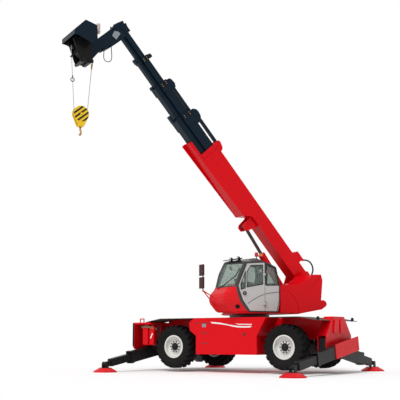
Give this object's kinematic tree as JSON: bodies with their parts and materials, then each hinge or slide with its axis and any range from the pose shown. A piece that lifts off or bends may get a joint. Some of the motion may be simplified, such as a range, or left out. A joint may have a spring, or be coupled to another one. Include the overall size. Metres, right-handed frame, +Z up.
{
  "type": "rotating_telehandler",
  "caption": "Rotating telehandler with a five-part boom, a winch head with hook block, a tilted cab and four extended stabilisers.",
  "frame": {"origin": "slew_centre", "axes": "+X to the front axle, +Y to the machine's left, +Z up"},
  "size_m": [6.31, 7.7067, 9.14],
  "materials": {
    "chassis_red": "gloss",
    "turret_red": "gloss",
    "guard_brown": "matte",
    "axle_grey": "rough",
    "ring_steel": "machined",
    "tyre_rubber": "matte",
    "rim_silver": "satin",
    "leg_black": "satin",
    "leg_grey": "satin",
    "pad_red": "satin",
    "dark_paint": "satin",
    "engine_iron": "rough",
    "cab_dark": "satin",
    "cab_tint": "clear",
    "trim_black": "matte",
    "door_silver": "satin",
    "lamp_body": "gloss",
    "boom_navy": "gloss",
    "barrel_paint": "gloss",
    "rod_chrome": "polished",
    "drum_steel": "machined",
    "rope_steel": "wound",
    "hose_rubber": "matte",
    "block_yellow": "gloss",
    "hook_gold": "satin"
  },
  "bodies": {
    "chassis": {"chassis_frame": "chassis_red", "mudguards": "guard_brown", "side_box_left": "chassis_red", "side_box_right": "chassis_red", "axles": "axle_grey", "slew_ring": "ring_steel", "stabiliser_frame_front": "chassis_red", "stabiliser_frame_rear": "chassis_red"},
    "knuckle_front_left": {"knuckle_front_left": "axle_grey"},
    "wheel_front_left": {"tyre_front_left": "tyre_rubber", "rim_front_left": "rim_silver"},
    "knuckle_front_right": {"knuckle_front_right": "axle_grey"},
    "wheel_front_right": {"tyre_front_right": "tyre_rubber", "rim_front_right": "rim_silver"},
    "knuckle_rear_left": {"knuckle_rear_left": "axle_grey"},
    "wheel_rear_left": {"tyre_rear_left": "tyre_rubber", "rim_rear_left": "rim_silver"},
    "knuckle_rear_right": {"knuckle_rear_right": "axle_grey"},
    "wheel_rear_right": {"tyre_rear_right": "tyre_rubber", "rim_rear_right": "rim_silver"},
    "leg_beam_front_left": {"leg_beam_front_left": "leg_black"},
    "leg_slide_front_left": {"leg_slide_front_left": "leg_grey"},
    "leg_pad_front_left": {"leg_pad_front_left": "pad_red"},
    "leg_beam_front_right": {"leg_beam_front_right": "leg_black"},
    "leg_slide_front_right": {"leg_slide_front_right": "leg_grey"},
    "leg_pad_front_right": {"leg_pad_front_right": "pad_red"},
    "leg_beam_rear_left": {"leg_beam_rear_left": "leg_black"},
    "leg_slide_rear_left": {"leg_slide_rear_left": "leg_grey"},
    "leg_pad_rear_left": {"leg_pad_rear_left": "pad_red"},
    "leg_beam_rear_right": {"leg_beam_rear_right": "leg_black"},
    "leg_slide_rear_right": {"leg_slide_rear_right": "leg_grey"},
    "leg_pad_rear_right": {"leg_pad_rear_right": "pad_red"},
    "turret": {"turret_frame": "turret_red", "counterweight": "turret_red", "side_cover": "turret_red", "engine_bay": "dark_paint", "engine": "engine_iron", "cab_shell": "cab_dark", "cab_glass": "cab_tint", "cab_interior": "trim_black", "mirrors": "trim_black", "roof_lamps": "lamp_body"},
    "cab_door": {"door_panel": "door_silver", "door_glass": "cab_tint"},
    "engine_lid": {"engine_hood": "turret_red"},
    "boom": {"boom_base": "chassis_red", "foot_hose": "hose_rubber"},
    "lift_barrel": {"lift_cylinder": "barrel_paint"},
    "lift_piston": {"lift_rod": "rod_chrome"},
    "boom_part_2": {"boom_section_2": "boom_navy"},
    "boom_part_3": {"boom_section_3": "boom_navy"},
    "boom_part_4": {"boom_section_4": "boom_navy"},
    "boom_part_5": {"boom_section_5": "boom_navy", "head_hose": "hose_rubber"},
    "carriage": {"carriage_frame": "boom_navy", "winch_drum": "drum_steel", "winch_hood": "boom_navy", "hook_ropes": "rope_steel"},
    "block": {"hook_block": "block_yellow"},
    "hook": {"hook": "hook_gold"}
  },
  "joints": [
    {"name": "steer_front_left", "type": "hinge", "parent": "chassis", "child": "knuckle_front_left", "pos_m": [1.7, 0.85, 0.665], "axis": [0, 0, 1], "range_deg": [-30, 30]},
    {"name": "wheel_spin_front_left", "type": "hinge", "parent": "knuckle_front_left", "child": "wheel_front_left", "pos_m": [1.7, 0.985, 0.665], "axis": [0, 1, 0], "continuous": true},
    {"name": "steer_front_right", "type": "hinge", "parent": "chassis", "child": "knuckle_front_right", "pos_m": [1.7, -0.85, 0.665], "axis": [0, 0, 1], "range_deg": [-30, 30]},
    {"name": "wheel_spin_front_right", "type": "hinge", "parent": "knuckle_front_right", "child": "wheel_front_right", "pos_m": [1.7, -0.985, 0.665], "axis": [0, 1, 0], "continuous": true},
    {"name": "steer_rear_left", "type": "hinge", "parent": "chassis", "child": "knuckle_rear_left", "pos_m": [-1.7, 0.85, 0.665], "axis": [0, 0, 1], "range_deg": [-30, 30]},
    {"name": "wheel_spin_rear_left", "type": "hinge", "parent": "knuckle_rear_left", "child": "wheel_rear_left", "pos_m": [-1.7, 0.985, 0.665], "axis": [0, 1, 0], "continuous": true},
    {"name": "steer_rear_right", "type": "hinge", "parent": "chassis", "child": "knuckle_rear_right", "pos_m": [-1.7, -0.85, 0.665], "axis": [0, 0, 1], "range_deg": [-30, 30]},
    {"name": "wheel_spin_rear_right", "type": "hinge", "parent": "knuckle_rear_right", "child": "wheel_rear_right", "pos_m": [-1.7, -0.985, 0.665], "axis": [0, 1, 0], "continuous": true},
    {"name": "leg_swing_front_left", "type": "hinge", "parent": "chassis", "child": "leg_beam_front_left", "pos_m": [2.92, -0.56, 0.708], "axis": [1, 0, 0], "range_deg": [-2, 12]},
    {"name": "leg_extend_front_left", "type": "slide", "parent": "leg_beam_front_left", "child": "leg_slide_front_left", "axis": [0, -0.9877, 0.1566], "range_m": [-0.45, 0.64]},
    {"name": "leg_pad_level_front_left", "type": "hinge", "parent": "leg_slide_front_left", "child": "leg_pad_front_left", "pos_m": [2.92, 2.55, 0.215], "axis": [1, 0, 0], "range_deg": [-12, 2]},
    {"name": "leg_swing_front_right", "type": "hinge", "parent": "chassis", "child": "leg_beam_front_right", "pos_m": [2.69, 0.56, 0.708], "axis": [-1, 0, 0], "range_deg": [-2, 12]},
    {"name": "leg_extend_front_right", "type": "slide", "parent": "leg_beam_front_right", "child": "leg_slide_front_right", "axis": [0, 0.986, 0.167], "range_m": [-0.45, 0.45]},
    {"name": "leg_pad_level_front_right", "type": "hinge", "parent": "leg_slide_front_right", "child": "leg_pad_front_right", "pos_m": [2.69, -2.35, 0.215], "axis": [-1, 0, 0], "range_deg": [-12, 2]},
    {"name": "leg_swing_rear_left", "type": "hinge", "parent": "chassis", "child": "leg_beam_rear_left", "pos_m": [-2.76, -0.56, 0.708], "axis": [1, 0, 0], "range_deg": [-2, 12]},
    {"name": "leg_extend_rear_left", "type": "slide", "parent": "leg_beam_rear_left", "child": "leg_slide_rear_left", "axis": [0, -0.9884, 0.1518], "range_m": [-0.45, 0.74]},
    {"name": "leg_pad_level_rear_left", "type": "hinge", "parent": "leg_slide_rear_left", "child": "leg_pad_rear_left", "pos_m": [-2.76, 2.65, 0.215], "axis": [1, 0, 0], "range_deg": [-12, 2]},
    {"name": "leg_swing_rear_right", "type": "hinge", "parent": "chassis", "child": "leg_beam_rear_right", "pos_m": [-2.535, 0.56, 0.708], "axis": [-1, 0, 0], "range_deg": [-2, 12]},
    {"name": "leg_extend_rear_right", "type": "slide", "parent": "leg_beam_rear_right", "child": "leg_slide_rear_right", "axis": [0, 0.9855, 0.1699], "range_m": [-0.45, 0.4]},
    {"name": "leg_pad_level_rear_right", "type": "hinge", "parent": "leg_slide_rear_right", "child": "leg_pad_rear_right", "pos_m": [-2.535, -2.3, 0.215], "axis": [-1, 0, 0], "range_deg": [-12, 2]},
    {"name": "turret_slew", "type": "hinge", "parent": "chassis", "child": "turret", "pos_m": [0, 0, 1.5], "axis": [0, 0, 1], "continuous": true},
    {"name": "cab_door_swing", "type": "hinge", "parent": "turret", "child": "cab_door", "pos_m": [-0.96975, 0.78562, 2.15], "axis": [0, 0, 1], "range_deg": [0, 85]},
    {"name": "engine_hood_lift", "type": "hinge", "parent": "turret", "child": "engine_lid", "pos_m": [0.06884, -0.81239, 2.436], "axis": [-0.4384, -0.8988, 0], "range_deg": [0, 60]},
    {"name": "boom_lift", "type": "hinge", "parent": "turret", "child": "boom", "pos_m": [-0.71016, -1.45605, 2.61], "axis": [-0.8988, 0.4384, 0], "range_deg": [-34, 52]},
    {"name": "lift_cylinder_tilt", "type": "hinge", "parent": "turret", "child": "lift_barrel", "pos_m": [-0.63564, -1.30325, 1.75], "axis": [-0.8988, 0.4384, 0], "range_deg": [-34, 52]},
    {"name": "lift_rod_slide", "type": "slide", "parent": "lift_barrel", "child": "lift_piston", "axis": [0.2566, 0.5261, 0.8108], "range_m": [-0.636, 0.419]},
    {"name": "boom_extend_2", "type": "slide", "parent": "boom", "child": "boom_part_2", "axis": [-0.2876, -0.5897, -0.7547], "range_m": [-2.6, 0.59]},
    {"name": "boom_extend_3", "type": "slide", "parent": "boom_part_2", "child": "boom_part_3", "axis": [-0.2876, -0.5897, -0.7547], "range_m": [-2.6, 0.59]},
    {"name": "boom_extend_4", "type": "slide", "parent": "boom_part_3", "child": "boom_part_4", "axis": [-0.2876, -0.5897, -0.7547], "range_m": [-2.6, 0.59]},
    {"name": "boom_extend_5", "type": "slide", "parent": "boom_part_4", "child": "boom_part_5", "axis": [-0.2876, -0.5897, -0.7547], "range_m": [-2.6, 0.59]},
    {"name": "carriage_level", "type": "hinge", "parent": "boom_part_5", "child": "carriage", "pos_m": [2.01651, 4.13445, 8.35], "axis": [-0.8988, 0.4384, 0], "range_deg": [-52, 34]},
    {"name": "hoist", "type": "slide", "parent": "carriage", "child": "block", "axis": [0, 0, 1], "range_m": [-5.8, 1.05], "deforming": ["hook_ropes"]},
    {"name": "hook_swivel", "type": "hinge", "parent": "block", "child": "hook", "pos_m": [2.19624, 4.50296, 6.16], "axis": [0, 0, 1], "continuous": true}
  ],
  "couplings": [
    {"joint": "steer_front_right", "follows": "steer_front_left", "ratio": 1},
    {"joint": "steer_rear_right", "follows": "steer_rear_left", "ratio": 1},
    {"joint": "leg_pad_level_front_left", "follows": "leg_swing_front_left", "ratio": -1},
    {"joint": "leg_pad_level_front_right", "follows": "leg_swing_front_right", "ratio": -1},
    {"joint": "leg_pad_level_rear_left", "follows": "leg_swing_rear_left", "ratio": -1},
    {"joint": "leg_pad_level_rear_right", "follows": "leg_swing_rear_right", "ratio": -1},
    {"joint": "lift_cylinder_tilt", "follows": "boom_lift", "ratio": 0.805},
    {"joint": "lift_rod_slide", "follows": "boom_lift", "m_per_rad": -0.69},
    {"joint": "boom_extend_3", "follows": "boom_extend_2", "ratio": 1},
    {"joint": "boom_extend_4", "follows": "boom_extend_2", "ratio": 1},
    {"joint": "boom_extend_5", "follows": "boom_extend_2", "ratio": 1},
    {"joint": "carriage_level", "follows": "boom_lift", "ratio": -1}
  ]
}
